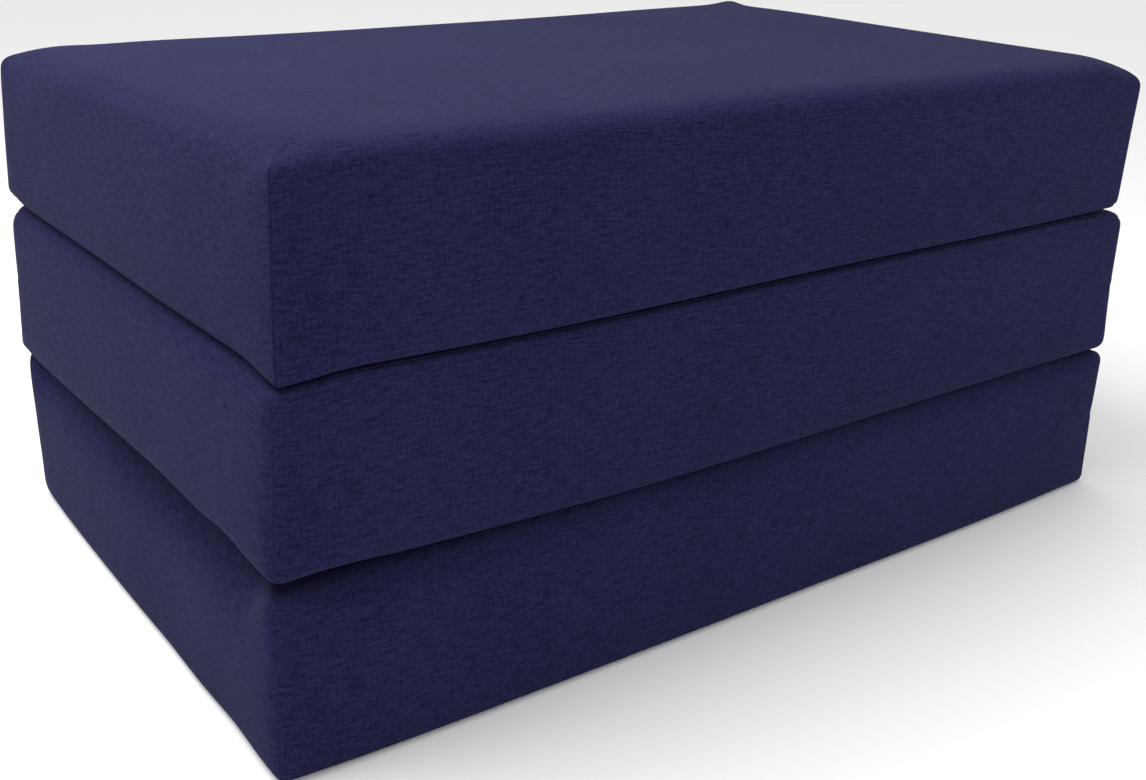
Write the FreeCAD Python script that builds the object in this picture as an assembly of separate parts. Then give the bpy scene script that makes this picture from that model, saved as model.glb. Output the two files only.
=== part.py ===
"""Tri-fold foam futon mattress, folded in a zigzag into a stack of three sections.

Millimetres. +X along the long side, +Y to the back, +Z up; the origin is the centre of the
stack's foot. Each section is drawn upright about its own foot centre and then stacked. The
middle section lies upside down in the stack, as the zigzag fold turns it.
"""
import FreeCAD, Part
import math
import os

Vector = FreeCAD.Vector
X_AXIS = Vector(1, 0, 0)
Y_AXIS = Vector(0, 1, 0)
Z_AXIS = Vector(0, 0, 1)

# One section
LENGTH = 990.6
DEPTH = 635.0
THICKNESS = 157.0

# Cover cloth
CLOTH = 1.0
EDGE_RADIUS = 12.0
BASE_SEAM_HEIGHT = 4.0
DART_ALLOWANCE = 6.0
DART_END_MARGIN = 6.0

# Foam block inside the cover
FOAM_CLEARANCE = 0.4
FOAM_DART_CLEARANCE = 1.0

# Stack and fold hinges
STACK_GAP = 1.2
HINGE_STANDOFF = 2.5
LEAF_THICKNESS = 0.5
LEAF_WIDTH = 34.0
LEAF_TIP_CLEARANCE = 0.3
LEAF_END_MARGIN = 40.0

# Zip window in the +X end wall
WINDOW_MARGIN = 8.0
TAPE_THICKNESS = 0.6
TAPE_WIDTH = 14.0
CHAIN_GAP = 1.8
COIL_WIDTH = 2.1
COIL_HEIGHT = 2.2
COIL_ROUNDING = 0.6
CHAIN_END_MARGIN = 16.0
STOP_LENGTH = 4.0
STOP_RISE = 0.3

# Zip slider and pull tab
RUNNING_CLEARANCE = 0.3
SLIDER_LENGTH = 13.0
SLIDER_PLATE = 1.2
SLIDER_FLANGE = 0.9
SLIDER_CORNER = 2.0
BRIDGE_LENGTH = 3.0
ARCH_THICKNESS = 1.0
ARCH_WIDTH = 2.0
ARCH_WINDOW = 4.8
PULL_BAR_RADIUS = 0.8
PULL_THICKNESS = 1.4
PULL_ARM_WIDTH = 1.7
PULL_SIDE_CLEARANCE = 0.6
PULL_NECK = 5.0
PULL_LENGTH = 27.0
PULL_WIDTH = 7.6
PULL_HOLE_RADIUS = 1.3

# Care label beside the bottom zip
LABEL_LENGTH = 46.0
LABEL_HEIGHT = 26.0
LABEL_THICKNESS = 0.4
LABEL_CENTRE_Y = 190.0

# Worked out from the sizes above
END_WALL = LENGTH / 2
MID_HEIGHT = THICKNESS / 2
SECTION_PITCH = THICKNESS + STACK_GAP
INNER_RADIUS = EDGE_RADIUS - CLOTH
DIAGONAL_SHARE = 2 ** 0.5 - 1
FOAM_INSET = CLOTH + FOAM_CLEARANCE
DART_REACH = EDGE_RADIUS * DIAGONAL_SHARE + CLOTH + DART_ALLOWANCE
FOAM_CORNER_RADIUS = (DART_REACH + FOAM_DART_CLEARANCE - FOAM_INSET * 2 ** 0.5) / DIAGONAL_SHARE
WINDOW_LENGTH = DEPTH - 2 * (EDGE_RADIUS + WINDOW_MARGIN)
WINDOW_FOOT = EDGE_RADIUS + WINDOW_MARGIN
WINDOW_HEAD = THICKNESS - EDGE_RADIUS - WINDOW_MARGIN
CHAIN_HALF_WIDTH = CHAIN_GAP / 2 + COIL_WIDTH
CHAIN_LENGTH = WINDOW_LENGTH - 2 * (CHAIN_END_MARGIN + STOP_LENGTH)
SLIDER_HALF_WIDTH = CHAIN_HALF_WIDTH + RUNNING_CLEARANCE + SLIDER_FLANGE
SLOT_HALF_HEIGHT = SLIDER_HALF_WIDTH + 2 * RUNNING_CLEARANCE
SLIDER_Y = -CHAIN_LENGTH / 2 + SLIDER_LENGTH / 2 + RUNNING_CLEARANCE

# Distances out from the end wall's face; inside the wall they are negative
TAPE_FACE = -CLOTH
TAPE_BACK = TAPE_FACE - TAPE_THICKNESS
COIL_TOP = TAPE_FACE + COIL_HEIGHT
SLIDER_INNER_FACE = TAPE_BACK - RUNNING_CLEARANCE
SLIDER_INNER_BACK = SLIDER_INNER_FACE - SLIDER_PLATE
SLIDER_OUTER_BACK = COIL_TOP + RUNNING_CLEARANCE
SLIDER_OUTER_FACE = SLIDER_OUTER_BACK + SLIDER_PLATE
PULL_AXIS = SLIDER_OUTER_FACE + RUNNING_CLEARANCE + PULL_BAR_RADIUS
ARCH_UNDERSIDE = PULL_AXIS + PULL_BAR_RADIUS + RUNNING_CLEARANCE
ARCH_TOP = ARCH_UNDERSIDE + ARCH_THICKNESS
FOAM_CHANNEL_DEPTH = CLOTH - SLIDER_INNER_BACK + FOAM_CLEARANCE
FOAM_CHANNEL_HALF = TAPE_WIDTH + 2 * FOAM_CLEARANCE


def span_box(x_span, y_span, z_span):
    """A box between two values on each axis."""
    size = [high - low for low, high in (x_span, y_span, z_span)]
    return Part.makeBox(*size, Vector(x_span[0], y_span[0], z_span[0]))


def end_box(out_span, y_span, z_span):
    """A box at the +X end wall, measured outwards from the wall's face."""
    x_span = (END_WALL + out_span[0], END_WALL + out_span[1])
    return span_box(x_span, y_span, z_span)


def edges_along(shape, axis):
    """The straight edges of a shape that run along an axis."""
    found = []
    for edge in shape.Edges:
        run = edge.lastVertex().Point - edge.firstVertex().Point
        if run.Length > 0 and abs(run.dot(axis)) > 0.999 * run.Length:
            found.append(edge)
    return found


def centred_box(length, depth, height, foot):
    """A box centred on the section's axis, standing at a height."""
    return span_box((-length / 2, length / 2), (-depth / 2, depth / 2), (foot, foot + height))


def soft_block(inset, radius):
    """The section's outer form moved inwards, with every edge rounded."""
    block = centred_box(LENGTH - 2 * inset, DEPTH - 2 * inset, THICKNESS - 2 * inset, inset)
    return block.makeFillet(radius, block.Edges)


def cover_shell():
    """The whole cover of one section as one closed skin."""
    return soft_block(0.0, EDGE_RADIUS).cut(soft_block(CLOTH, INNER_RADIUS))


def under_base_seam():
    """The space below the seam that joins the base panel to the cap."""
    return centred_box(2 * LENGTH, 2 * DEPTH, 2 * BASE_SEAM_HEIGHT, -BASE_SEAM_HEIGHT)


def dart_allowance(x_side, y_side):
    """Two plies of cloth turned into one vertical corner, behind its dart seam."""
    start = EDGE_RADIUS * DIAGONAL_SHARE + CLOTH / 2
    foot = EDGE_RADIUS + DART_END_MARGIN
    plies = span_box((start, DART_REACH), (-CLOTH, CLOTH), (foot, THICKNESS - foot))
    plies.rotate(Vector(0, 0, 0), Z_AXIS, math.degrees(math.atan2(-y_side, -x_side)))
    plies.translate(Vector(x_side * LENGTH / 2, y_side * DEPTH / 2, 0))
    return plies


def zip_window():
    """The opening in the end wall that the zip panel fills."""
    half = WINDOW_LENGTH / 2
    return end_box((-2 * CLOTH, CLOTH), (-half, half), (WINDOW_FOOT, WINDOW_HEAD))


def cover_cap():
    """Top sheet and walls, open below, with the zip window and the darted corners."""
    cap = cover_shell().cut(under_base_seam()).cut(zip_window())
    darts = [dart_allowance(x_side, y_side) for x_side in (-1, 1) for y_side in (-1, 1)]
    return cap.fuse(darts)


def base_panel():
    """The panel that closes the cap from below, with its turned-up rim."""
    return cover_shell().common(under_base_seam())


def foam_core():
    """The foam block, cut back at its corners for the darts and at the zip for the slider."""
    height = THICKNESS - 2 * FOAM_INSET
    block = centred_box(LENGTH - 2 * FOAM_INSET, DEPTH - 2 * FOAM_INSET, height, FOAM_INSET)
    block = block.makeFillet(FOAM_CORNER_RADIUS, edges_along(block, Z_AXIS))
    rims = [edge for edge in block.Edges if abs(edge.BoundBox.ZLength) < 0.001]
    block = block.makeFillet(EDGE_RADIUS, rims)
    channel = end_box((-CLOTH - FOAM_CHANNEL_DEPTH, CLOTH), (-DEPTH, DEPTH),
                      (MID_HEIGHT - FOAM_CHANNEL_HALF, MID_HEIGHT + FOAM_CHANNEL_HALF))
    return block.cut(channel)


def zip_side(shape, side):
    """A piece drawn above the chain, or its mirror image below the chain."""
    if side > 0:
        return shape
    return shape.mirror(Vector(0, 0, MID_HEIGHT), Z_AXIS)


def zip_strip(side):
    """The cloth strip between the window's edge and the zip."""
    half = WINDOW_LENGTH / 2
    strip = end_box((-CLOTH, 0), (-half, half), (MID_HEIGHT + SLOT_HALF_HEIGHT, WINDOW_HEAD))
    return zip_side(strip, side)


def zip_tape(side):
    """The zip's woven tape, sewn behind its strip."""
    half = WINDOW_LENGTH / 2
    tape = end_box((TAPE_BACK, TAPE_FACE), (-half, half),
                   (MID_HEIGHT + CHAIN_GAP / 2, MID_HEIGHT + TAPE_WIDTH))
    return zip_side(tape, side)


def zip_coils():
    """The two rows of coil, one on each tape."""
    half = CHAIN_LENGTH / 2
    row = end_box((TAPE_FACE, COIL_TOP), (-half, half),
                  (MID_HEIGHT + CHAIN_GAP / 2, MID_HEIGHT + CHAIN_HALF_WIDTH))
    crest = [edge for edge in edges_along(row, Y_AXIS) if edge.BoundBox.XMax > END_WALL + COIL_TOP - 0.01]
    row = row.makeFillet(COIL_ROUNDING, crest)
    return Part.makeCompound([zip_side(row, side) for side in (1, -1)])


def zip_stops():
    """The stop at each end of the chain."""
    stops = []
    for start in (-CHAIN_LENGTH / 2 - STOP_LENGTH, CHAIN_LENGTH / 2):
        stop = end_box((TAPE_FACE, COIL_TOP + STOP_RISE), (start, start + STOP_LENGTH),
                       (MID_HEIGHT - CHAIN_HALF_WIDTH, MID_HEIGHT + CHAIN_HALF_WIDTH))
        crest = [edge for edge in stop.Edges if edge.BoundBox.XMin > END_WALL + COIL_TOP]
        stops.append(stop.makeFillet(COIL_ROUNDING, crest))
    return Part.makeCompound(stops)


def slider_plate(out_span):
    """One wing of the slider, with rounded corners."""
    y_span = (SLIDER_Y - SLIDER_LENGTH / 2, SLIDER_Y + SLIDER_LENGTH / 2)
    plate = end_box(out_span, y_span, (MID_HEIGHT - SLIDER_HALF_WIDTH, MID_HEIGHT + SLIDER_HALF_WIDTH))
    return plate.makeFillet(SLIDER_CORNER, edges_along(plate, X_AXIS))


def zip_slider():
    """Slider body: two wings, the bridge between them, side flanges and the pull's arch."""
    flange_half = SLIDER_LENGTH / 2 - SLIDER_CORNER
    flange_tip = TAPE_FACE + RUNNING_CLEARANCE
    flange = end_box((flange_tip, SLIDER_OUTER_BACK), (SLIDER_Y - flange_half, SLIDER_Y + flange_half),
                     (MID_HEIGHT + SLIDER_HALF_WIDTH - SLIDER_FLANGE, MID_HEIGHT + SLIDER_HALF_WIDTH))
    bridge_half = CHAIN_GAP / 2 - RUNNING_CLEARANCE
    bridge = end_box((SLIDER_INNER_FACE, SLIDER_OUTER_BACK),
                     (SLIDER_Y - BRIDGE_LENGTH / 2, SLIDER_Y + BRIDGE_LENGTH / 2),
                     (MID_HEIGHT - bridge_half, MID_HEIGHT + bridge_half))
    arch_half = ARCH_WINDOW / 2 + ARCH_THICKNESS
    arch = end_box((SLIDER_OUTER_FACE, ARCH_TOP), (SLIDER_Y - arch_half, SLIDER_Y + arch_half),
                   (MID_HEIGHT - ARCH_WIDTH / 2, MID_HEIGHT + ARCH_WIDTH / 2))
    shoulders = [edge for edge in edges_along(arch, Z_AXIS) if edge.BoundBox.XMin > END_WALL + PULL_AXIS]
    arch = arch.makeFillet(ARCH_THICKNESS, shoulders)
    eye = end_box((SLIDER_OUTER_FACE, ARCH_UNDERSIDE),
                  (SLIDER_Y - ARCH_WINDOW / 2, SLIDER_Y + ARCH_WINDOW / 2),
                  (MID_HEIGHT - ARCH_WIDTH, MID_HEIGHT + ARCH_WIDTH))
    outer_wing = slider_plate((SLIDER_OUTER_BACK, SLIDER_OUTER_FACE))
    inner_wing = slider_plate((SLIDER_INNER_BACK, SLIDER_INNER_FACE))
    return outer_wing.fuse([inner_wing, flange, zip_side(flange, -1), bridge, arch.cut(eye)]).removeSplitter()


def zip_pull():
    """Pull tab: a ring round the slider's arch, drawn out into a flat tab with a hole."""
    half_width = PULL_WIDTH / 2
    ring_half = ARCH_WIDTH / 2 + PULL_SIDE_CLEARANCE
    low = PULL_AXIS - PULL_THICKNESS / 2
    high = PULL_AXIS + PULL_THICKNESS / 2
    z_span = (MID_HEIGHT - half_width, MID_HEIGHT + half_width)
    tab = end_box((low, high), (SLIDER_Y + PULL_NECK, SLIDER_Y + PULL_LENGTH), z_span)
    tab = tab.makeFillet(PULL_WIDTH / 2 - PULL_ARM_WIDTH, edges_along(tab, X_AXIS))
    hole = Part.makeCylinder(PULL_HOLE_RADIUS, 2 * PULL_THICKNESS,
                             Vector(END_WALL + low, SLIDER_Y + PULL_LENGTH - half_width, MID_HEIGHT), X_AXIS)
    arm = end_box((low, high), (SLIDER_Y, SLIDER_Y + PULL_NECK + PULL_ARM_WIDTH),
                  (MID_HEIGHT + ring_half, MID_HEIGHT + ring_half + PULL_ARM_WIDTH))
    bar_half = ring_half + PULL_ARM_WIDTH
    bar = Part.makeCylinder(PULL_BAR_RADIUS, 2 * bar_half,
                            Vector(END_WALL + PULL_AXIS, SLIDER_Y, MID_HEIGHT - bar_half), Z_AXIS)
    return tab.cut(hole).fuse([arm, zip_side(arm, -1), bar]).removeSplitter()


def care_label():
    """Blank cloth label, sewn to the end wall below the zip."""
    head = MID_HEIGHT - SLOT_HALF_HEIGHT - TAPE_WIDTH
    return end_box((0, LABEL_THICKNESS), (LABEL_CENTRE_Y - LABEL_LENGTH / 2, LABEL_CENTRE_Y + LABEL_LENGTH / 2),
                   (head - LABEL_HEIGHT, head))


def hinge_leaf(side, height, rises):
    """One leaf of a fold hinge: a cloth strip from the hinge line in over the section."""
    tip = DEPTH / 2 + HINGE_STANDOFF - LEAF_TIP_CLEARANCE
    root = tip - LEAF_WIDTH
    half = LENGTH / 2 - LEAF_END_MARGIN
    foot = height if rises else height - LEAF_THICKNESS
    y_span = (root, tip) if side > 0 else (-tip, -root)
    return span_box((-half, half), y_span, (foot, foot + LEAF_THICKNESS))


def stacked(shape, level):
    """A shape drawn for an upright section, moved to its level; the middle level is turned over."""
    placed = shape.copy()
    if level == 1:
        placed.rotate(Vector(0, 0, MID_HEIGHT), X_AXIS, 180)
    placed.translate(Vector(0, 0, level * SECTION_PITCH))
    return placed


def section_pieces():
    """The pieces that every section has."""
    return {
        "foam_core": foam_core(),
        "cover_cap": cover_cap(),
        "base_panel": base_panel(),
        "zip_strip_upper": zip_strip(1),
        "zip_strip_lower": zip_strip(-1),
        "zip_tape_upper": zip_tape(1),
        "zip_tape_lower": zip_tape(-1),
        "zip_coils": zip_coils(),
        "zip_stops": zip_stops(),
        "zip_slider": zip_slider(),
        "zip_pull": zip_pull(),
    }


def all_nodes():
    """Every node of the mattress, by name."""
    nodes = {}
    for name, shape in section_pieces().items():
        for level, section in enumerate(("bottom", "middle", "top")):
            nodes[section + "_" + name] = stacked(shape, level)
    bottom_face = THICKNESS
    middle_foot = SECTION_PITCH
    middle_face = SECTION_PITCH + THICKNESS
    top_foot = 2 * SECTION_PITCH
    nodes["back_hinge_lower_leaf"] = hinge_leaf(1, bottom_face, True)
    nodes["back_hinge_upper_leaf"] = hinge_leaf(1, middle_foot, False)
    nodes["front_hinge_lower_leaf"] = hinge_leaf(-1, middle_face, True)
    nodes["front_hinge_upper_leaf"] = hinge_leaf(-1, top_foot, False)
    nodes["bottom_care_label"] = care_label()
    return nodes


os.makedirs("parts", exist_ok=True)
for node, solid in all_nodes().items():
    solid.exportStep("parts/" + node + ".step")
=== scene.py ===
import math

import bpy
import numpy as np
from mathutils import Matrix, Vector, noise
from mathutils.bvhtree import BVHTree


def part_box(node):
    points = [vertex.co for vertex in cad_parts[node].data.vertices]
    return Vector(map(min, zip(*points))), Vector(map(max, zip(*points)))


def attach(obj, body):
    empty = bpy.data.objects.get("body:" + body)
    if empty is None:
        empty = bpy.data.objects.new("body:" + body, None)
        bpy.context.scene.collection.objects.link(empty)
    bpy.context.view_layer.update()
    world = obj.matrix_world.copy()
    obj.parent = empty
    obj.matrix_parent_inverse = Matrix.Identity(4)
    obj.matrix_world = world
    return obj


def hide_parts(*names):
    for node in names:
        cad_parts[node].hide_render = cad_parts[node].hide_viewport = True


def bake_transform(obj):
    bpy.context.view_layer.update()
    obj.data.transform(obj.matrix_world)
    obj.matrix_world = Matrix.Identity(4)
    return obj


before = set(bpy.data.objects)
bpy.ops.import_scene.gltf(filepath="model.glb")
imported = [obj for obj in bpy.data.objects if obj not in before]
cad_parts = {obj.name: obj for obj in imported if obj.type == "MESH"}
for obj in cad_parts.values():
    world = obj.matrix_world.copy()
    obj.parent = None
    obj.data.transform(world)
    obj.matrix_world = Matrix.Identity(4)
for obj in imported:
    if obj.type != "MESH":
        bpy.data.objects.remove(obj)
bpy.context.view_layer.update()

MM = 0.001

# ---------------------------------------------------------------- sizes, all from the frame

SECTIONS = ("bottom", "middle", "top")
CAP_HIGH = np.array(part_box("bottom_cover_cap")[1])
BASE_LOW, BASE_HIGH = (np.array(corner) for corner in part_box("bottom_base_panel"))
MIDDLE_LOW = np.array(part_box("middle_cover_cap")[0])
TAPE_LOW, TAPE_HIGH = (np.array(corner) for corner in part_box("bottom_zip_tape_upper"))

HALF_X = CAP_HIGH[0]
HALF_Y = CAP_HIGH[1]
THICK = CAP_HIGH[2] - BASE_LOW[2]
PITCH = MIDDLE_LOW[2] - BASE_LOW[2]
MID = THICK / 2
ON_FACE = 1e-6               # a point this close to a face of the flat form lies on it


def smooth(value, low, high):
    """0 below low, 1 above high, and a smooth step between them."""
    share = np.clip((value - low) / (high - low), 0.0, 1.0)
    return share * share * (3.0 - 2.0 * share)


# ---------------------------------------------------------------- the covers' forms

# Distances in from a face at which the cloth's grid has lines: close at the edges, wide inside
RIM_LINES = [d * MM for d in (0, 2.5, 6, 10.5, 15, 20, 28, 40, 54, 74)]
OPEN_STEP = 32 * MM
WALL_LINES = [d * MM for d in (0, 4, 8, 13, 20, 28, 40, 57)]
ZIP_LINES = [d * MM for d in (13, 5.6, 4.0)]

CORNER_REACH = 70 * MM       # how far from a corner an edge takes to reach its full rounding
MITRE_REACH = 30 * MM        # how far from a corner the walls follow its pulled-in point
SAG_REACH = 70 * MM          # how far from a corner its sag reaches
LEAN_REACH = 260 * MM        # how far from a corner its lean reaches
BOW_REACH = 120 * MM         # how far in from a wall its bow reaches

# Cloth round the zip stays in place, as far as these distances from its line, in from its wall
# and from the ends of that wall. A pair is where the cloth is still held and where it is free
ZIP_HELD = (20 * MM, 50 * MM)
ZIP_HELD_DEPTH = 30 * MM
ZIP_HELD_ENDS = (6 * MM, 20 * MM)

# Roundings of the upper and lower edges and of the corners, in millimetres. Edges and bows go
# front, back, left, right; corners go front left, front right, back left, back right. A lean is
# how far a corner is pulled along X and Y, and a bow how far a wall stands out at its middle.
FORMS = {
    "bottom": {
        "upper": (25, 9, 52, 17), "upper_corners": (9, 12, 8, 7),
        "lower": (8, 8, 8, 8), "lower_corners": (9, 6, 14, 6),
        "uprights": (10, 8, 34, 9),
        "high_lean": ((-7, 0), (0, 0), (-4, 0), (0, 0)), "high_bow": (-3, 0, -5, 0),
        "low_lean": ((-9, -2), (-1, 0), (0, -8), (0, 0)), "low_bow": (9, 0, 6, 0),
        "corner_seam": 0.5,
    },
    "middle": {
        "upper": (8, 14, 20, 12), "upper_corners": (8, 16, 24, 7),
        "lower": (13, 9, 7, 16), "lower_corners": (9, 13, 9, 7),
        "uprights": (12, 11, 16, 9),
        "high_lean": ((-1, 1), (0, 2), (1, 0), (0, 0)), "high_bow": (0, 0, 0, 0),
        "low_lean": ((-6, 0), (1, 0), (-3, 0), (0, 0)), "low_bow": (0, 0, 5, 0),
        "corner_seam": 0.6,
    },
    "top": {
        "upper": (18, 24, 26, 26), "upper_corners": (8, 13, 10, 6),
        "lower": (6, 14, 8, 12), "lower_corners": (6, 12, 16, 7),
        "uprights": (5, 9, 12, 9),
        "high_lean": ((5, 0), (-8, 0), (5, 0), (0, 0)), "high_bow": (0, 0, -2, 0),
        "low_lean": ((4, 2), (-12, 4), (0, 0), (0, 0)), "low_bow": (0, 0, -1, 0),
        "corner_seam": 1.0,
    },
}

# How far each level sags at its four corners, from the floor up to the stack's top, in millimetres
SAGS = ((0, 0, 0, 0), (-1, 0, 0, 0), (5, 1, 0, 0), (10, 10, 12, -1))

# Places where an edge is pulled: level, x and y as shares, reach in mm, move along X, Y, Z in mm
PUCKERS = {
    "bottom": (
        ("upper", -1.0, -0.45, 260, (3, 0, -7)),
        ("upper", -0.90, -1.0, 170, (0, 12, -5)),
        ("lower", -1.0, -0.72, 90, (3, 0, 0)),
        ("upper", -0.30, -1.0, 600, (0, 0, -6)),
    ),
    "middle": (
        ("lower", -1.0, -0.40, 400, (0, 0, 10)),
        ("lower", -1.0, -0.74, 75, (0, 0, 6)),
        ("lower", -0.90, -1.0, 80, (0, 0, 2)),
        ("lower", -0.30, -1.0, 600, (0, 0, -6)),
        ("upper", -0.55, -1.0, 450, (0, 0, -4)),
    ),
    "top": (
        ("lower", -0.55, -1.0, 450, (0, 0, -4)),
        ("upper", -0.55, -1.0, 60, (0, 0, -2)),
        ("upper", 0.10, -1.0, 130, (0, 0, 1.5)),
        ("upper", 1.0, 0.80, 500, (0, 0, 7)),
        ("upper", 1.0, -1.0, 60, (0, 0, -6)),
        ("upper", -0.85, 1.0, 75, (0, 0, -3)),
        ("upper", -0.5, 1.0, 450, (0, 0, -2)),
    ),
}


def grid_lines(half, rim, step):
    """Positions from -half to half: the rim's lines at both ends and even steps between."""
    inner = half - rim[-1]
    count = max(1, round(2 * inner / step))
    middle = np.linspace(-inner, inner, count + 1)[1:-1]
    ends = np.array([half - d for d in rim])
    return np.concatenate([-ends, middle, ends[::-1]])


def box_grid(xs, ys, zs):
    """Points and quads of the surface of a box with these grid lines."""
    index = {}
    points = []
    quads = []

    def point(i, j, k):
        key = (i, j, k)
        if key not in index:
            index[key] = len(points)
            points.append((xs[i], ys[j], zs[k]))
        return index[key]

    last_x, last_y, last_z = len(xs) - 1, len(ys) - 1, len(zs) - 1
    for i in range(last_x):
        for j in range(last_y):
            top = [point(a, b, last_z) for a, b in ((i, j), (i + 1, j), (i + 1, j + 1), (i, j + 1))]
            foot = [point(a, b, 0) for a, b in ((i, j), (i, j + 1), (i + 1, j + 1), (i + 1, j))]
            quads += [top, foot]
    for i in range(last_x):
        for k in range(last_z):
            front = [point(a, 0, c) for a, c in ((i, k), (i + 1, k), (i + 1, k + 1), (i, k + 1))]
            back = [point(a, last_y, c) for a, c in ((i, k), (i, k + 1), (i + 1, k + 1), (i + 1, k))]
            quads += [front, back]
    for j in range(last_y):
        for k in range(last_z):
            left = [point(0, b, c) for b, c in ((j, k), (j, k + 1), (j + 1, k + 1), (j + 1, k))]
            right = [point(last_x, b, c) for b, c in ((j, k), (j + 1, k), (j + 1, k + 1), (j, k + 1))]
            quads += [left, right]
    return np.array(points), quads


def of_corner(values, flat):
    """The nearest corner's value, at every point."""
    return np.array(values, float)[(flat[:, 0] > 0) + 2 * (flat[:, 1] > 0)]


def edge_radii(flat, radii, corners):
    """Rounding of the nearest x-side edge and of the nearest y-side edge, at every point."""
    front, back, left, right = (r * MM for r in radii)
    to_x = HALF_X - np.abs(flat[:, 0])
    to_y = HALF_Y - np.abs(flat[:, 1])
    full_x = np.where(flat[:, 0] < 0, left, right)
    full_y = np.where(flat[:, 1] < 0, front, back)
    corner = of_corner(corners, flat) * MM
    radius_x = corner + (full_x - corner) * smooth(to_y, 0, CORNER_REACH)
    radius_y = corner + (full_y - corner) * smooth(to_x, 0, CORNER_REACH)
    return radius_x, radius_y


def arc(inwards, along, radius):
    """Where a point of a square edge goes on its rounding: (inwards, along the wall)."""
    over = np.clip(1 - inwards / radius, 0, 1)
    down = np.clip(along / radius, 0, 1)
    angle = np.where(along > 0, 1 + down, over) * math.pi / 4
    rounded = (inwards < radius) & (along < radius)
    new_inwards = np.where(rounded, radius * (1 - np.sin(angle)), inwards)
    new_along = np.where(rounded, radius * (1 - np.cos(angle)), along)
    return new_inwards, new_along


def tailored(flat, form):
    """The sewn block's form: rounded edges, and corners pulled in to a mitre."""
    side_x = np.sign(flat[:, 0])
    side_y = np.sign(flat[:, 1])
    to_x = HALF_X - np.abs(flat[:, 0])
    to_y = HALF_Y - np.abs(flat[:, 1])
    inset_x = to_x.copy()
    inset_y = to_y.copy()
    height = flat[:, 2].copy()
    on_x = to_x < 1e-9
    on_y = to_y < 1e-9
    for upper in (True, False):
        depth = THICK - flat[:, 2] if upper else flat[:, 2]
        level = "upper" if upper else "lower"
        radius_x, radius_y = edge_radii(flat, form[level], form[level + "_corners"])
        in_x, down_x = arc(to_x, depth, radius_x)
        in_y, down_y = arc(to_y, depth, radius_y)
        face = depth < 1e-9
        near = depth < np.maximum(radius_x, radius_y)
        move_x = (on_x | face) & near
        move_y = (on_y | face) & near
        inset_x = np.where(move_x, in_x, inset_x)
        inset_y = np.where(move_y, in_y, inset_y)
        pull_x, _ = arc(0 * to_x, np.maximum(depth, 1e-8), radius_x)
        pull_y, _ = arc(0 * to_y, np.maximum(depth, 1e-8), radius_y)
        only_y = on_y & ~on_x & ~face & near
        only_x = on_x & ~on_y & ~face & near
        inset_x = np.where(only_y, to_x + pull_x * np.clip(1 - to_x / MITRE_REACH, 0, 1), inset_x)
        inset_y = np.where(only_x, to_y + pull_y * np.clip(1 - to_y / MITRE_REACH, 0, 1), inset_y)
        drop = np.where(face | (on_x & on_y), np.maximum(down_x, down_y), np.where(on_x, down_x, down_y))
        height = np.where(near, THICK - drop if upper else drop, height)
    shaped = np.column_stack([side_x * (HALF_X - inset_x), side_y * (HALF_Y - inset_y), height])
    return round_uprights(shaped, of_corner(form["uprights"], flat) * MM)


def round_uprights(shaped, radius):
    """Rounds the footprint's four corners."""
    over_x = np.maximum(0, np.abs(shaped[:, 0]) - (HALF_X - radius))
    over_y = np.maximum(0, np.abs(shaped[:, 1]) - (HALF_Y - radius))
    reach = np.hypot(over_x, over_y)
    share = np.where(reach > 0, np.maximum(over_x, over_y) / np.maximum(reach, 1e-9), 1.0)
    shaped[:, 0] -= np.sign(shaped[:, 0]) * over_x * (1 - share)
    shaped[:, 1] -= np.sign(shaped[:, 1]) * over_y * (1 - share)
    return shaped


def corner_share(flat, reach):
    """1 at the corners, 0 further from them than the reach along either wall."""
    to_x = HALF_X - np.abs(flat[:, 0])
    to_y = HALF_Y - np.abs(flat[:, 1])
    return (1 - smooth(to_x, 0, reach)) * (1 - smooth(to_y, 0, reach))


def spot_share(flat, x, y, reach):
    """1 at a spot given in shares of the half length and half depth, fading out over the reach."""
    away = np.hypot(flat[:, 0] - x * HALF_X, flat[:, 1] - y * HALF_Y) / (reach * MM)
    return np.exp(-3 * away ** 2)


def settled(points, flat, section):
    """The section as it lies in the stack: walls bowed, corners leaning and sagging, edges pulled."""
    form = FORMS[section]
    level = SECTIONS.index(section)
    to_x = HALF_X - np.abs(flat[:, 0])
    to_y = HALF_Y - np.abs(flat[:, 1])
    height = flat[:, 2] / THICK
    lean = corner_share(flat, LEAN_REACH)
    sag = corner_share(flat, SAG_REACH)
    bow_x = (1 - (flat[:, 1] / HALF_Y) ** 2) * (1 - smooth(to_x, 0, BOW_REACH))
    bow_y = (1 - (flat[:, 0] / HALF_X) ** 4) * (1 - smooth(to_y, 0, BOW_REACH))
    move = np.zeros_like(points)
    for share, name in ((1 - height, "low"), (height, "high")):
        front, back, left, right = form[name + "_bow"]
        pulled = of_corner(form[name + "_lean"], flat)
        move[:, 0] += share * (lean * pulled[:, 0] + bow_x * np.where(flat[:, 0] < 0, -left, right))
        move[:, 1] += share * (lean * pulled[:, 1] + bow_y * np.where(flat[:, 1] < 0, -front, back))
    move[:, 2] -= sag * of_corner(SAGS[level + 1], flat) * smooth(height, 0.35, 1.0)
    move[:, 2] -= sag * of_corner(SAGS[level], flat) * smooth(1 - height, 0.35, 1.0)
    for name, x, y, reach, pull in PUCKERS[section]:
        side = height if name == "upper" else 1 - height
        move += (spot_share(flat, x, y, reach) * smooth(side, 0.5, 1.0))[:, None] * pull
    by_zip = 1 - smooth(np.abs(flat[:, 2] - MID), *ZIP_HELD)
    by_zip *= 1 - smooth(to_x, 0, ZIP_HELD_DEPTH)
    by_zip *= (flat[:, 0] > 0) * smooth(to_y, *ZIP_HELD_ENDS)
    return points + move * MM * (1 - by_zip)[:, None]


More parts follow.
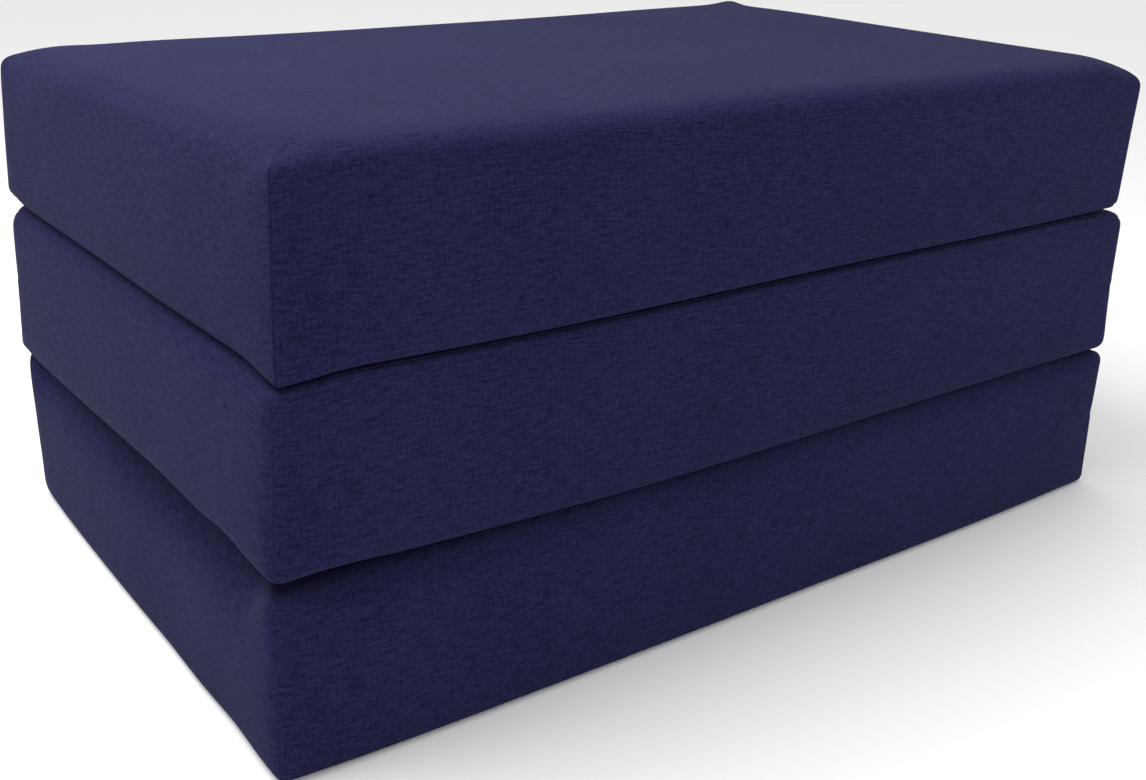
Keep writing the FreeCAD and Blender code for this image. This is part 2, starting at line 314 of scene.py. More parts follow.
RUMPLE = 0.9 * MM            # the cloth's unevenness on the walls
RUMPLE_OUTWARD = 0.3         # the largest share of it outwards, so that unfolded walls stay apart
RUMPLE_CELLS = 7.0           # its cells to a metre
RUMPLE_FADE = 25 * MM        # how far from the upper and lower edges it takes to show in full


def rumpled(points, flat, normal, seed):
    """Soft unevenness of the cloth over its foam, none on the zip's wall or a face under load."""
    uneven = np.array([noise.fractal(tuple(p), 1.0, 2.0, 3) for p in flat * RUMPLE_CELLS + seed])
    to_x = HALF_X - np.abs(flat[:, 0])
    to_y = HALF_Y - np.abs(flat[:, 1])
    wall = np.minimum(to_x, to_y) < ON_FACE
    inner = smooth(flat[:, 2], 0, RUMPLE_FADE) * smooth(THICK - flat[:, 2], 0, RUMPLE_FADE)
    free = np.where(wall & (flat[:, 0] < HALF_X - ON_FACE), inner, 0)
    return points + normal * (RUMPLE * np.minimum(uneven, RUMPLE_OUTWARD) * free)[:, None]


def mesh_object(name, points, faces):
    """A Blender object with this mesh, linked to the scene."""
    mesh = bpy.data.meshes.new(name)
    mesh.from_pydata([tuple(p) for p in points], [], [list(f) for f in faces])
    mesh.update()
    piece = bpy.data.objects.new(name, mesh)
    bpy.context.scene.collection.objects.link(piece)
    return piece


def taken(piece):
    """A piece's points and quads with its modifiers. The piece itself is removed."""
    bpy.context.view_layer.update()
    shown = piece.evaluated_get(bpy.context.evaluated_depsgraph_get())
    mesh = shown.to_mesh()
    points = np.empty(len(mesh.vertices) * 3)
    mesh.vertices.foreach_get("co", points)
    faces = np.empty(len(mesh.polygons) * 4, dtype=np.int32)
    mesh.polygons.foreach_get("vertices", faces)
    shown.to_mesh_clear()
    bpy.data.objects.remove(piece, do_unlink=True)
    return points.reshape(-1, 3), faces.reshape(-1, 4)


SWELL_CAP = 2.1 * MM         # less than half the gap between two unfolded sections
REST_MARGIN = 12 * MM        # how far in from the walls a face under load lies flat
SWELL_FRAMES = 16


def swollen(points, quads, resting):
    """The cloth filled by its foam: a pressure simulation, its moves eased to a few millimetres."""
    piece = mesh_object("cloth_form", points, quads)
    pinned = piece.vertex_groups.new(name="resting")
    pinned.add([int(i) for i in np.flatnonzero(resting)], 1.0, "REPLACE")
    cloth = piece.modifiers.new("Cloth", "CLOTH")
    cloth.settings.vertex_group_mass = "resting"
    cloth.settings.quality = 6
    cloth.settings.mass = 0.4
    cloth.settings.tension_stiffness = 30
    cloth.settings.compression_stiffness = 30
    cloth.settings.shear_stiffness = 12
    cloth.settings.bending_stiffness = 2.0
    cloth.settings.use_pressure = True
    cloth.settings.uniform_pressure_force = 0.25
    cloth.settings.effector_weights.gravity = 0
    cloth.collision_settings.use_collision = False
    cloth.point_cache.frame_start = 1
    cloth.point_cache.frame_end = SWELL_FRAMES
    for step in range(1, SWELL_FRAMES + 1):
        bpy.context.scene.frame_set(step)
    moved, _ = taken(piece)
    bpy.context.scene.frame_set(1)
    shift = moved - points
    length = np.linalg.norm(shift, axis=1, keepdims=True)
    eased = SWELL_CAP * (1 - np.exp(-length / SWELL_CAP))
    return points + shift * eased / np.maximum(length, 1e-9)


def refined(points, quads, kind):
    """Points and quads of the mesh after two subdivisions, smoothed or straight."""
    piece = mesh_object("refine_form", points, quads)
    divide = piece.modifiers.new("Divide", "SUBSURF")
    divide.subdivision_type = kind
    divide.levels = 2
    return taken(piece)


def normals_of(points, faces):
    """Unit normals at the points, from the faces round them."""
    corners = points[faces]
    normal = np.cross(corners[:, 2] - corners[:, 0], corners[:, 3] - corners[:, 1])
    total = np.zeros_like(points)
    for corner in range(4):
        np.add.at(total, faces[:, corner], normal)
    return total / np.maximum(np.linalg.norm(total, axis=1, keepdims=True), 1e-12)


def pit(distance, width):
    """1 on a line, 0 beyond this distance from it, rounded like a pulled-in seam."""
    share = np.clip(1 - distance / width, 0, 1)
    return share * share * (3 - 2 * share)


SEAM_HEIGHT = BASE_HIGH[2] - BASE_LOW[2]
WINDOW_INSET = HALF_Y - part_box("bottom_zip_strip_upper")[1][1]
TURNED = ("middle",)         # sections that lie with their base panel up
SEAM_WIDTH = 1.9 * MM        # how far from a seam its cloth is pulled in
BASE_SEAM_WIDTH = 2.2 * MM
BASE_SEAM_DEPTH = 0.8 * MM
WINDOW_SEAM_DEPTH = 1.0 * MM
WINDOW_SEAM_REACH = 2.5 * MM  # how far past its corners the window's seam is looked for
DART_END = (26 * MM, 44 * MM)  # how far in on a face a corner's dart starts and stops fading


def sewn(points, faces, flat, section):
    """Seams pulled into the surface: the corner darts, the base seam and the zip's window."""
    normal = normals_of(points, faces)
    to_x = HALF_X - np.abs(flat[:, 0])
    to_y = HALF_Y - np.abs(flat[:, 1])
    above_base = THICK - flat[:, 2] if section in TURNED else flat[:, 2]
    wall = (to_x < ON_FACE) | (to_y < ON_FACE)
    corner = np.where(wall, to_x + to_y, np.abs(to_x - to_y))
    dart = np.where(wall, 1.0, 1 - smooth(np.maximum(to_x, to_y), *DART_END))
    dart = np.where(above_base < ON_FACE, 0, dart)
    depth = FORMS[section]["corner_seam"] * MM * pit(corner, SEAM_WIDTH) * dart
    depth += BASE_SEAM_DEPTH * pit(np.abs(above_base - SEAM_HEIGHT), BASE_SEAM_WIDTH) * wall
    right = flat[:, 0] > HALF_X - ON_FACE
    beside = np.minimum(flat[:, 2], THICK - flat[:, 2]) - WINDOW_INSET
    beyond = to_y - WINDOW_INSET
    to_window = np.where(beside < beyond, np.abs(beside), np.abs(beyond))
    to_window = np.where(np.minimum(beside, beyond) < -WINDOW_SEAM_REACH, 1.0, to_window)
    depth += WINDOW_SEAM_DEPTH * pit(to_window, SEAM_WIDTH) * right
    return points - normal * depth[:, None]


FLAT_BAND = (16 * MM, 34 * MM)   # how far beside the zip its wall stops being flat
FLAT_ENDS = (-12 * MM, 4 * MM)   # and along it, from past the ends of its tapes
SLOT_EDGE = (4.5 * MM, 5.1 * MM)  # how far beside the zip the edge of its slot is
SLOT_DEPTH = HALF_X - TAPE_LOW[0] + 0.3 * MM


def zip_recess(points, flat):
    """The slot between the zip's two strips, down to behind its tapes."""
    right = flat[:, 0] > HALF_X - ON_FACE
    beside = np.abs(flat[:, 2] - MID)
    along = TAPE_HIGH[1] - np.abs(flat[:, 1])
    flattened = np.where(right, (1 - smooth(beside, *FLAT_BAND)) * smooth(along, *FLAT_ENDS), 0)
    slot = np.where(right, (1 - smooth(beside, *SLOT_EDGE)) * (along > 0), 0)
    points[:, 0] += (HALF_X - points[:, 0]) * flattened
    points[:, 0] = np.where(slot > 0, HALF_X - SLOT_DEPTH * slot, points[:, 0])
    return points


def cloth_uv(flat, faces):
    """Pattern coordinates in metres, with the weave's streaks level on all four walls."""
    centre = flat[faces].mean(axis=1)
    corners = flat[faces]
    uv = corners[:, :, :2].copy()
    depth = THICK - corners[:, :, 2]
    front = centre[:, 1] < -HALF_Y + ON_FACE
    back = centre[:, 1] > HALF_Y - ON_FACE
    left = centre[:, 0] < -HALF_X + ON_FACE
    right = centre[:, 0] > HALF_X - ON_FACE
    uv[front, :, 1] = -HALF_Y - depth[front]
    uv[back, :, 1] = HALF_Y + depth[back]
    for end in (left, right):
        uv[end, :, 0] = corners[end, :, 1]
        uv[end, :, 1] = depth[end]
    return uv.reshape(-1, 2)


HALF = np.array([HALF_X, HALF_Y, MID])
MIDST = np.array([0.0, 0.0, MID])
WEAR_REACH = 14 * MM         # how far from an edge its cloth is rubbed lighter


def finish(piece, material):
    """Smooth shading and a material."""
    piece.data.polygons.foreach_set("use_smooth", [True] * len(piece.data.polygons))
    piece.data.materials.append(material)


def cover(section):
    """One section's cover as a closed padded form."""
    form = FORMS[section]
    level = SECTIONS.index(section)
    xs = grid_lines(HALF_X, RIM_LINES, OPEN_STEP)
    ys = grid_lines(HALF_Y, RIM_LINES, OPEN_STEP)
    half_wall = WALL_LINES + [MID - d for d in ZIP_LINES] + [MID]
    zs = np.array(half_wall + [THICK - d for d in half_wall[-2::-1]])
    flat, quads = box_grid(xs, ys, zs)
    shaped = tailored(flat, form)
    inside = np.minimum(HALF_X - np.abs(flat[:, 0]), HALF_Y - np.abs(flat[:, 1])) > REST_MARGIN
    under_load = (flat[:, 2] < 1e-9) | ((flat[:, 2] > THICK - 1e-9) & (section != "top"))
    shaped = swollen(shaped, quads, inside & under_load)
    fine, faces = refined(shaped, quads, "CATMULL_CLARK")
    fine_flat, _ = refined(flat, quads, "SIMPLE")
    fine = rumpled(fine, fine_flat, normals_of(fine, faces), level)
    fine = sewn(fine, faces, fine_flat, section)
    highest = THICK if section != "top" else THICK + SWELL_CAP
    fine[:, 2] = np.clip(fine[:, 2], 0, highest)
    fine = zip_recess(fine, fine_flat)
    fine = settled(fine, fine_flat, section)
    fine[:, 2] += level * PITCH
    piece = mesh_object(section + "_cover", fine, faces)
    uv_layer = piece.data.uv_layers.new(name="flat_pattern")
    uv_layer.data.foreach_set("uv", cloth_uv(fine_flat, faces).ravel())
    inset = np.sort(np.minimum(HALF - np.abs(fine_flat - MIDST), 1.0), axis=1)[:, 1]
    worn = piece.data.attributes.new("edge_wear", "FLOAT", "POINT")
    worn.data.foreach_set("value", 1 - smooth(inset, 0, WEAR_REACH))
    finish(piece, CLOTH)
    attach(piece, section + "_section")
    replaced = ["cover_cap", "base_panel", "zip_strip_upper", "zip_strip_lower", "foam_core"]
    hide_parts(*[section + "_" + node for node in replaced])
    return piece


# ---------------------------------------------------------------- materials

class Nodes:
    """A material's node tree, with short calls to add and join nodes."""

    def __init__(self, name):
        self.material = bpy.data.materials.new(name)
        self.material.use_nodes = True
        self.tree = self.material.node_tree
        self.shader = self.tree.nodes["Principled BSDF"]

    def add(self, kind, **values):
        node = self.tree.nodes.new(kind)
        for key, value in values.items():
            setattr(node, key, value)
        return node

    def join(self, source, target):
        self.tree.links.new(source, target)

    def math(self, operation, *values):
        node = self.add("ShaderNodeMath", operation=operation)
        for socket, value in zip(node.inputs, values):
            if isinstance(value, (int, float)):
                socket.default_value = value
            else:
                self.join(value, socket)
        return node.outputs[0]

    def stretched(self, vector, scale):
        node = self.add("ShaderNodeMapping")
        self.join(vector, node.inputs["Vector"])
        node.inputs["Scale"].default_value = scale
        return node.outputs["Vector"]

    def noise(self, vector, scale, detail=2.0):
        node = self.add("ShaderNodeTexNoise")
        self.join(vector, node.inputs["Vector"])
        node.inputs["Scale"].default_value = scale
        node.inputs["Detail"].default_value = detail
        return node.outputs["Fac"]

    def ramp(self, factor, low, high, low_at=0.0, high_at=1.0):
        node = self.add("ShaderNodeValToRGB")
        self.join(factor, node.inputs["Fac"])
        first, last = node.color_ramp.elements
        first.position, last.position = low_at, high_at
        first.color, last.color = (*low, 1), (*high, 1)
        return node.outputs["Color"]

    def bump(self, height, distance, strength):
        node = self.add("ShaderNodeBump")
        self.join(height, node.inputs["Height"])
        node.inputs["Distance"].default_value = distance
        node.inputs["Strength"].default_value = strength
        self.join(node.outputs["Normal"], self.shader.inputs["Normal"])


def woven_cloth(name, dark, light, thread=0.9 * MM):
    """Fine plain weave with slubs along both threads, on the pattern's coordinates."""
    nodes = Nodes(name)
    place = nodes.add("ShaderNodeUVMap", uv_map="flat_pattern").outputs["UV"]
    split = nodes.add("ShaderNodeSeparateXYZ")
    nodes.join(nodes.stretched(place, (math.pi / thread,) * 3), split.inputs["Vector"])
    warp = nodes.math("SINE", split.outputs["X"])
    weft = nodes.math("SINE", split.outputs["Y"])
    weave = nodes.math("MULTIPLY_ADD", nodes.math("MULTIPLY", warp, weft), 0.5, 0.5)
    along_x = nodes.noise(nodes.stretched(place, (70, 500, 1)), 1.0, 3.0)
    along_y = nodes.noise(nodes.stretched(place, (500, 80, 1)), 1.0, 3.0)
    grain = nodes.noise(place, 360, 3.0)
    patches = nodes.noise(place, 7, 3.0)
    slub = nodes.math("MULTIPLY_ADD", along_x, 0.64, nodes.math("MULTIPLY", along_y, 0.36))
    tone = nodes.math("MULTIPLY_ADD", slub, 0.60, nodes.math("MULTIPLY", grain, 0.32))
    tone = nodes.math("MULTIPLY_ADD", weave, 0.08, tone)
    tone = nodes.math("MULTIPLY_ADD", nodes.math("SUBTRACT", patches, 0.5), 0.09, tone)
    worn = nodes.add("ShaderNodeAttribute", attribute_name="edge_wear").outputs["Fac"]
    tone = nodes.math("ADD", tone, nodes.math("MULTIPLY", nodes.math("MULTIPLY", worn, grain), 0.05))
    nodes.join(nodes.ramp(tone, dark, light, 0.39, 0.61), nodes.shader.inputs["Base Color"])
    rough = nodes.add("ShaderNodeMapRange")
    nodes.join(slub, rough.inputs["Value"])
    rough.inputs["To Min"].default_value = 0.95
    rough.inputs["To Max"].default_value = 0.80
    nodes.join(rough.outputs["Result"], nodes.shader.inputs["Roughness"])
    relief = nodes.math("MULTIPLY_ADD", weave, 0.5, nodes.math("MULTIPLY", slub, 0.9))
    nodes.bump(relief, 0.30 * MM, 0.4)
    nodes.shader.inputs["Specular IOR Level"].default_value = 0.06
    nodes.shader.inputs["Sheen Weight"].default_value = 0.02
    nodes.shader.inputs["Sheen Roughness"].default_value = 0.5
    nodes.shader.inputs["Sheen Tint"].default_value = (0.5, 0.52, 0.9, 1)
    return nodes.material


def woven_tape(name, dark, light, pitch):
    """Close ribbed weave of a narrow tape, on the piece's own coordinates."""
    nodes = Nodes(name)
    place = nodes.add("ShaderNodeTexCoord").outputs["Object"]
    split = nodes.add("ShaderNodeSeparateXYZ")
    nodes.join(nodes.stretched(place, (2 * math.pi / pitch,) * 3), split.inputs["Vector"])
    slant = nodes.math("ADD", split.outputs["Y"], split.outputs["Z"])
    rib = nodes.math("MULTIPLY_ADD", nodes.math("SINE", slant), 0.5, 0.5)
    grain = nodes.noise(place, 900, 3.0)
    tone = nodes.math("MULTIPLY_ADD", rib, 0.5, nodes.math("MULTIPLY", grain, 0.5))
    nodes.join(nodes.ramp(tone, dark, light, 0.2, 0.8), nodes.shader.inputs["Base Color"])
    nodes.bump(tone, 0.2 * MM, 0.6)
    nodes.shader.inputs["Roughness"].default_value = 0.72
    nodes.shader.inputs["Specular IOR Level"].default_value = 0.10
    return nodes.material


def spun_thread(name, dark, light, roughness, twist):
    """Polyester thread or drawn nylon: fine streaks and a soft shine."""
    nodes = Nodes(name)
    place = nodes.add("ShaderNodeTexCoord").outputs["Object"]
    streak = nodes.noise(nodes.stretched(place, (twist, twist / 6, twist)), 1.0, 3.0)
    nodes.join(nodes.ramp(streak, dark, light, 0.35, 0.65), nodes.shader.inputs["Base Color"])
    nodes.bump(streak, 0.08 * MM, 0.5)
    nodes.shader.inputs["Roughness"].default_value = roughness
    nodes.shader.inputs["Specular IOR Level"].default_value = 0.22
    return nodes.material


def worn_metal(name, paint, bare):
    """Dark plated die casting, its plating rubbed through in small patches and fine scratches."""
    nodes = Nodes(name)
    place = nodes.add("ShaderNodeTexCoord").outputs["Object"]
    patch = nodes.noise(place, 260, 5.0)
    scratch = nodes.noise(nodes.stretched(place, (300, 2600, 300)), 1.0, 2.0)
    rubbed = nodes.math("MULTIPLY_ADD", scratch, 0.35, nodes.math("MULTIPLY", patch, 0.65))
    nodes.join(nodes.ramp(rubbed, paint, bare, 0.54, 0.66), nodes.shader.inputs["Base Color"])
    rough = nodes.add("ShaderNodeMapRange")
    nodes.join(patch, rough.inputs["Value"])
    rough.inputs["To Min"].default_value = 0.24
    rough.inputs["To Max"].default_value = 0.46
    nodes.join(rough.outputs["Result"], nodes.shader.inputs["Roughness"])
    nodes.bump(rubbed, 0.05 * MM, 0.4)
    nodes.shader.inputs["Metallic"].default_value = 1.0
    return nodes.material


CLOTH = woven_cloth("navy_cloth", (0.0048, 0.0048, 0.0230), (0.0165, 0.0168, 0.0630))
TAPE = woven_tape("navy_zip_tape", (0.003, 0.003, 0.018), (0.009, 0.009, 0.048), 0.9 * MM)
LABEL = woven_tape("white_satin_label", (0.62, 0.62, 0.60), (0.80, 0.80, 0.78), 0.5 * MM)
NYLON = spun_thread("navy_nylon", (0.004, 0.004, 0.024), (0.010, 0.010, 0.052), 0.36, 900)
THREAD = spun_thread("navy_thread", (0.010, 0.010, 0.036), (0.030, 0.030, 0.090), 0.55, 2400)
METAL = worn_metal("gunmetal", (0.055, 0.055, 0.060), (0.36, 0.35, 0.34))


# ---------------------------------------------------------------- zips, stitches, label and hinges

def repeated(points, faces, offsets):
    """Points and faces of one copy of a small form at every offset."""
    copies = (points[None, :, :] + np.array(offsets)[:, None, :]).reshape(-1, 3)
    shifted = [[i + k * len(points) for i in face] for k in range(len(offsets)) for face in faces]
    return copies, shifted


def joined(parts):
    """Points and faces of several forms as one."""
    points, faces = [], []
    for part_points, part_faces in parts:
        faces += [[i + len(points) for i in face] for face in part_faces]
        points += list(part_points)
    return points, faces


def sheet_faces(lines, row):
    """Quads of a sheet whose points come in lines of the same number of points."""
    faces = []
    for i in range(lines - 1):
        for j in range(row - 1):
            faces.append([i * row + j, (i + 1) * row + j, (i + 1) * row + j + 1, i * row + j + 1])
    return faces


def tube(path, radii, sides):
    """Points and faces of a closed-ended tube along a path in a plane, its ends drawn in."""
    path = np.array(path, float)
    direction = np.gradient(path, axis=0)
    direction /= np.linalg.norm(direction, axis=1, keepdims=True)
    nudge = [0.01, 0.02, 0.03]   # gives a straight path a side to turn to
    across = np.cross(direction[0], direction[len(path) // 2] + nudge)
    across /= np.linalg.norm(across)
    other = np.cross(direction, across)
    angles = 2 * math.pi * np.arange(sides) / sides
    ring = np.cos(angles)[None, :, None] * across + np.sin(angles)[None, :, None] * other[:, None, :]
    points = (path[:, None, :] + ring * np.array(radii)[:, None, None]).reshape(-1, 3)
    faces = []
    for i in range(len(path) - 1):
        for j in range(sides):
            k = (j + 1) % sides
            faces.append([i * sides + j, i * sides + k, (i + 1) * sides + k, (i + 1) * sides + j])
    faces.append(list(range(sides))[::-1])
    faces.append([(len(path) - 1) * sides + j for j in range(sides)])
    return points, faces


SIDES = 6                    # of a thread's and a coil's tubes
STITCH_PITCH = 3.2 * MM
STITCH_LENGTH = 2.5 * MM
STITCH_RADIUS = 0.24 * MM
STITCH_TAPER = (0.35, 0.85, 1.0, 0.85, 0.35)   # its thickness along its length


def stitches(start, end):
    """Points and faces of a straight row of stitches, each drawn in at its ends."""
    start, end = np.array(start), np.array(end)
    length = np.linalg.norm(end - start)
    along = (end - start) / length
    places = np.linspace(-STITCH_LENGTH / 2, STITCH_LENGTH / 2, len(STITCH_TAPER))
    radii = STITCH_RADIUS * np.array(STITCH_TAPER)
    points, faces = tube([along * t for t in places], radii, SIDES)
    count = int(length / STITCH_PITCH)
    steps = (np.arange(count) + 0.5) * length / count
    return repeated(points, faces, [start + along * s for s in steps])


def sewn_rows(name, rows, body):
    """One piece with several rows of stitches, riding on a body."""
    piece = mesh_object(name, *joined(stitches(start, end) for start, end in rows))
    finish(piece, THREAD)
    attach(piece, body)
    return piece


COIL_PITCH = 1.3 * MM
COIL_WIRE = 0.40 * MM
CHAIN_HALF_GAP = 0.65 * MM   # half the gap between the two coils
LOOP_TURN_IN = 0.5 * MM      # how far a loop's head is narrower than its foot, at its outer side
LOOP_HEAD = 0.4 * MM         # and at its inner side


def zip_chain(section):
    """The zip's two coils: loops of nylon sewn to the tapes' edges, facing each other."""
    low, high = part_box(section + "_zip_coils")
    middle = (low[2] + high[2]) / 2
    outer = (high[2] - low[2]) / 2 - COIL_WIRE
    inner = CHAIN_HALF_GAP + COIL_WIRE
    back, front = low[0] + 0.1 * MM, high[0] - COIL_WIRE
    half = (back + front) / 2
    slant = COIL_PITCH / 4
    bulge = 0.1 * MM
    loop = [(back, -slant, outer), (half, -slant, outer + bulge), (front, 0, outer - LOOP_TURN_IN)]
    loop += [(front, 0, inner + LOOP_HEAD), (half, slant, inner), (back, slant, inner + bulge)]
    count = int((high[1] - low[1]) / COIL_PITCH) - 1
    first = -(count - 1) / 2 * COIL_PITCH
    form, form_faces = tube(loop, [COIL_WIRE] * len(loop), SIDES)
    rows = []
    for side, lag in ((1, 0.0), (-1, 0.5 * COIL_PITCH)):
        offsets = [(0, first + k * COIL_PITCH + lag, middle) for k in range(count)]
        rows.append(repeated(form * [1, 1, side], [face[::side] for face in form_faces], offsets))
    piece = mesh_object(section + "_zip_chain", *joined(rows))
    finish(piece, NYLON)
    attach(piece, section + "_section")
    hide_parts(section + "_zip_coils")


ZIP_STITCH_HEIGHT = 8.0 * MM  # of a row of stitches, above or below the zip's line
ROW_MARGIN = 2 * MM          # how far from the end of a seam its stitches stop
ON_WALL = 0.05 * MM          # how far a stitch's middle lies outside the wall


def zip_details(section):
    """The chain, the tapes' stitches and the materials of the zip's own parts."""
    zip_chain(section)
    middle = SECTIONS.index(section) * PITCH + MID
    reach = TAPE_HIGH[1] - ROW_MARGIN
    face = HALF_X + ON_WALL
    heights = [middle + side * ZIP_STITCH_HEIGHT for side in (-1, 1)]
    rows = [((face, -reach, height), (face, reach, height)) for height in heights]
    sewn_rows(section + "_zip_stitches", rows, section + "_section")
    materials = {"zip_tape_upper": TAPE, "zip_tape_lower": TAPE, "zip_stops": NYLON}
    materials.update({"zip_slider": METAL, "zip_pull": METAL})
    for node, material in materials.items():
        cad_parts[section + "_" + node].data.materials.clear()
        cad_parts[section + "_" + node].data.materials.append(material)


LABEL_ACROSS, LABEL_DOWN = 24, 14    # faces of the label's grid
LABEL_STAND_OFF = 0.3 * MM
LABEL_CURL = 2.2             # how far its free edge stands off the wall, in millimetres
LABEL_CORNER_CURL = 1.1      # and its one corner more


def care_label(wall):
    """A blank satin label, sewn on by its upper edge, its free edge curling off the wall."""
    low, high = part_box("bottom_care_label")
    tree = BVHTree.FromObject(wall, bpy.context.evaluated_depsgraph_get())
    points = []
    for j in range(LABEL_DOWN + 1):
        for i in range(LABEL_ACROSS + 1):
            y = low[1] + (high[1] - low[1]) * i / LABEL_ACROSS
            z = high[2] - (high[2] - low[2]) * j / LABEL_DOWN
            hit = tree.ray_cast((HALF_X + 0.1, y, z), (-1, 0, 0))[0]
            fall = j / LABEL_DOWN
            turned = max(0.0, (i / LABEL_ACROSS - 0.5) * 2)
            curl = (LABEL_CURL * fall ** 2.2 + LABEL_CORNER_CURL * fall * turned ** 3) * MM
            points.append((hit[0] + LABEL_STAND_OFF + curl, y, z))
    row = LABEL_ACROSS + 1
    label = mesh_object("bottom_label", points, sheet_faces(LABEL_DOWN + 1, row))
    finish(label, LABEL)
    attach(label, "bottom_section")
    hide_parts("bottom_care_label")
    ends = (points[2 * row + 1], points[2 * row + LABEL_ACROSS - 1])
    hem = sewn_rows("bottom_label_stitches", [ends], "bottom_section")


FOLD_RECESS = 7.0 * MM       # how far the fold lies inside the leaves' tips
LAYER = 0.25 * MM            # half the distance between the strip's two layers
LAYER_STEPS = 8              # faces across a layer
FOLD_STEPS = 10              # faces round the fold
STRIP_STEPS = 120            # faces along the strip
STRIP_WAVE = 0.9 * MM        # how unevenly the fold lies
STRIP_WAVE_CELLS = 22        # and in how many waves to a metre
SEWN_INSETS = (2 * MM, 5 * MM)   # how far in from a layer's edge its two seams are
SEWN_STOPS = 13              # places along a seam where it follows the faces' shape


def level_shift(points, section):
    """How far the upper face of a section is moved up or down at these points."""
    shift = -corner_share(points, SAG_REACH) * of_corner(SAGS[SECTIONS.index(section) + 1], points)
    for level, x, y, reach, pull in PUCKERS[section]:
        if level == "upper":
            shift += spot_share(points, x, y, reach) * pull[2]
    return shift * MM


def strip_profile(root, fold):
    """The strip across its fold: out along the lower layer, round the fold and back above."""
    shares = np.arange(LAYER_STEPS) / LAYER_STEPS
    layer = [(root + (fold - LAYER - root) * t, -LAYER) for t in shares]
    angles = np.linspace(-math.pi / 2, math.pi / 2, FOLD_STEPS + 1)
    bend = [(fold - LAYER + LAYER * math.cos(a), LAYER * math.sin(a)) for a in angles]
    return layer + bend + [(y, -z) for y, z in layer[::-1]]


def hinge(name, lower, upper):
    """A fold's cloth strip, folded between two sections and sewn to both."""
    low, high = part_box(name + "_hinge_lower_leaf")
    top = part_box(name + "_hinge_upper_leaf")[1][2]
    middle = (low[2] + top) / 2
    side = 1 if low[1] > 0 else -1
    tip = max(abs(low[1]), abs(high[1]))
    root = min(abs(low[1]), abs(high[1]))
    fold = tip - FOLD_RECESS
    profile = strip_profile(root, fold)
    points = []
    for x in np.linspace(low[0], high[0], STRIP_STEPS + 1):
        wave = noise.noise((x * STRIP_WAVE_CELLS, side * 3.0, 0)) * STRIP_WAVE
        for y, z in profile:
            share = smooth((y - root) / (fold - root), 0.3, 1.0)
            points.append((x, side * (y + wave * share), middle + z))
    row = len(profile)
    faces = [face[::-side] for face in sheet_faces(STRIP_STEPS + 1, row)]
    strip = mesh_object(name + "_hinge_strip", points, faces)
    measure = [0.0]
    for (y0, z0), (y1, z1) in zip(profile, profile[1:]):
        measure.append(measure[-1] + math.hypot(y1 - y0, z1 - z0))
    uv = np.array([(points[v][0], measure[v % row]) for face in faces for v in face])
    layer = strip.data.uv_layers.new(name="flat_pattern")
    layer.data.foreach_set("uv", uv.ravel())
    finish(strip, CLOTH)
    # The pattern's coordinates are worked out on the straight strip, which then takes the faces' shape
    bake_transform(strip)
    points = np.array(points)
    points[:, 2] += level_shift(points, lower)
    strip.data.vertices.foreach_set("co", points.ravel())
    strip.data.update()
    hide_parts(name + "_hinge_lower_leaf", name + "_hinge_upper_leaf")
    for body, z in ((lower, middle - LAYER), (upper, middle + LAYER)):
        rows = []
        for inset in SEWN_INSETS:
            stops = np.linspace(low[0] + ROW_MARGIN, high[0] - ROW_MARGIN, SEWN_STOPS)
            route = np.array([(x, side * (root + inset), z) for x in stops])
            route[:, 2] += level_shift(route, lower)
            rows += list(zip(route[:-1], route[1:]))
        sewn_rows(name + "_hinge_stitches_" + body, rows, body + "_section")


# ---------------------------------------------------------------- floor, light and camera

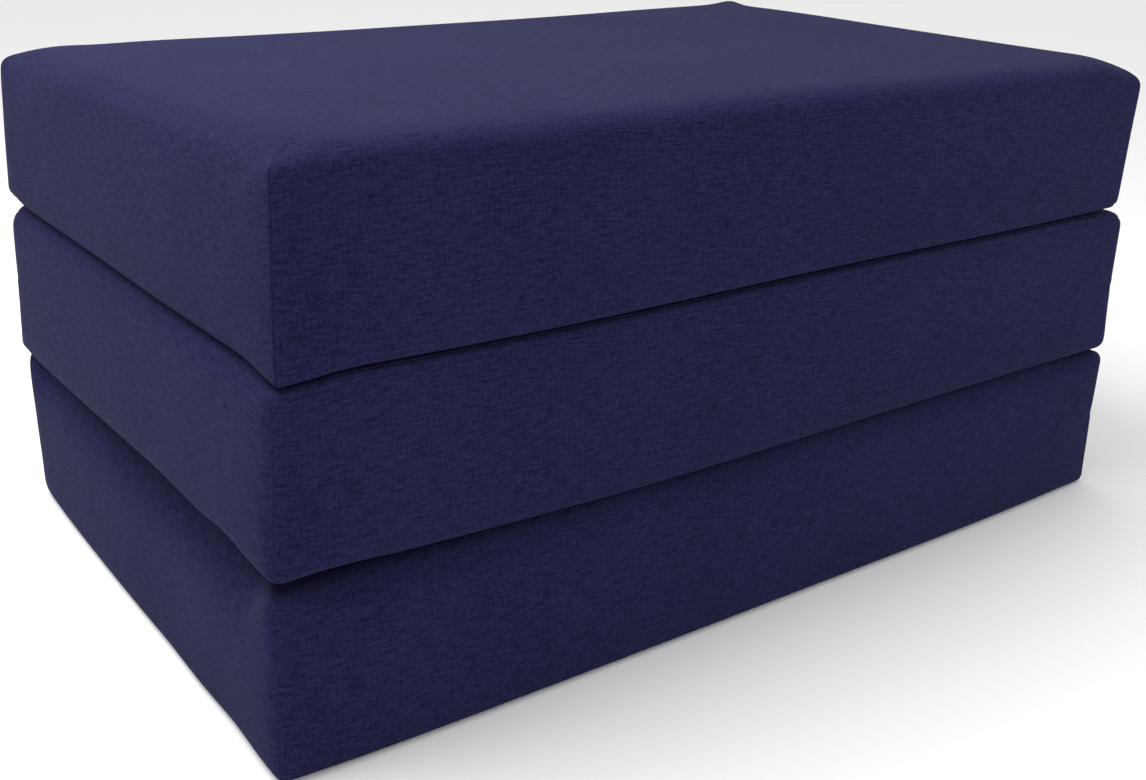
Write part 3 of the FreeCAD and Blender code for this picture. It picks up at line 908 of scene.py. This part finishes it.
def soft_light(name, size, energy, place, target):
    """A square soft light at a place, facing a target."""
    light = bpy.data.lights.new(name, "AREA")
    light.shape = "SQUARE"
    light.size = size
    light.energy = energy
    lamp = bpy.data.objects.new(name, light)
    lamp.location = place
    lamp.rotation_euler = (Vector(target) - Vector(place)).to_track_quat("-Z", "Y").to_euler()
    bpy.context.scene.collection.objects.link(lamp)


FLOOR_REACH = 9


def studio():
    """A pale floor and surround, a soft key light high on the left, a weak fill from the right."""
    signs = ((-1, -1), (1, -1), (1, 1), (-1, 1))
    corners = [(x * FLOOR_REACH, y * FLOOR_REACH, 0) for x, y in signs]
    floor = mesh_object("floor", corners, [(0, 1, 2, 3)])
    paint = Nodes("floor_paint")
    paint.shader.inputs["Base Color"].default_value = (0.86, 0.86, 0.86, 1)
    paint.shader.inputs["Roughness"].default_value = 0.95
    floor.data.materials.append(paint.material)
    world = bpy.data.worlds.new("surround")
    world.use_nodes = True
    world.node_tree.nodes["Background"].inputs["Color"].default_value = (1, 1, 1, 1)
    world.node_tree.nodes["Background"].inputs["Strength"].default_value = 0.94
    bpy.context.scene.world = world
    soft_light("key", 1.3, 37, (-0.82, 0.30, 1.80), (0.0, 0.30, 0.45))
    soft_light("fill", 1.2, 14, (1.80, -2.60, 0.70), (0.0, 0.0, 0.20))


LENS = 42.628                     # millimetres, on a sensor 36 mm wide
SHIFT = (0.0349, -0.0349)         # the frame's shift, as shares of its width
CAMERA_PLACE = (-0.843, -1.105, 0.641)
AZIMUTH, ELEVATION, ROLL = (math.radians(angle) for angle in (-35.5, 19.3, 1.15))


def photographer():
    """The camera, at the photograph's viewing angle."""
    view = bpy.data.cameras.new("view")
    view.lens = LENS
    view.shift_x, view.shift_y = SHIFT
    camera = bpy.data.objects.new("view", view)
    turn = Matrix.Rotation(AZIMUTH, 4, "Z") @ Matrix.Rotation(math.pi / 2 - ELEVATION, 4, "X")
    camera.matrix_world = Matrix.Translation(CAMERA_PLACE) @ turn @ Matrix.Rotation(ROLL, 4, "Z")
    bpy.context.scene.collection.objects.link(camera)
    bpy.context.scene.camera = camera


covers = {section: cover(section) for section in SECTIONS}
for section in SECTIONS:
    zip_details(section)
care_label(covers["bottom"])
hinge("back", "bottom", "middle")
hinge("front", "middle", "top")
studio()
photographer()

bpy.context.scene.view_settings.view_transform = "Standard"
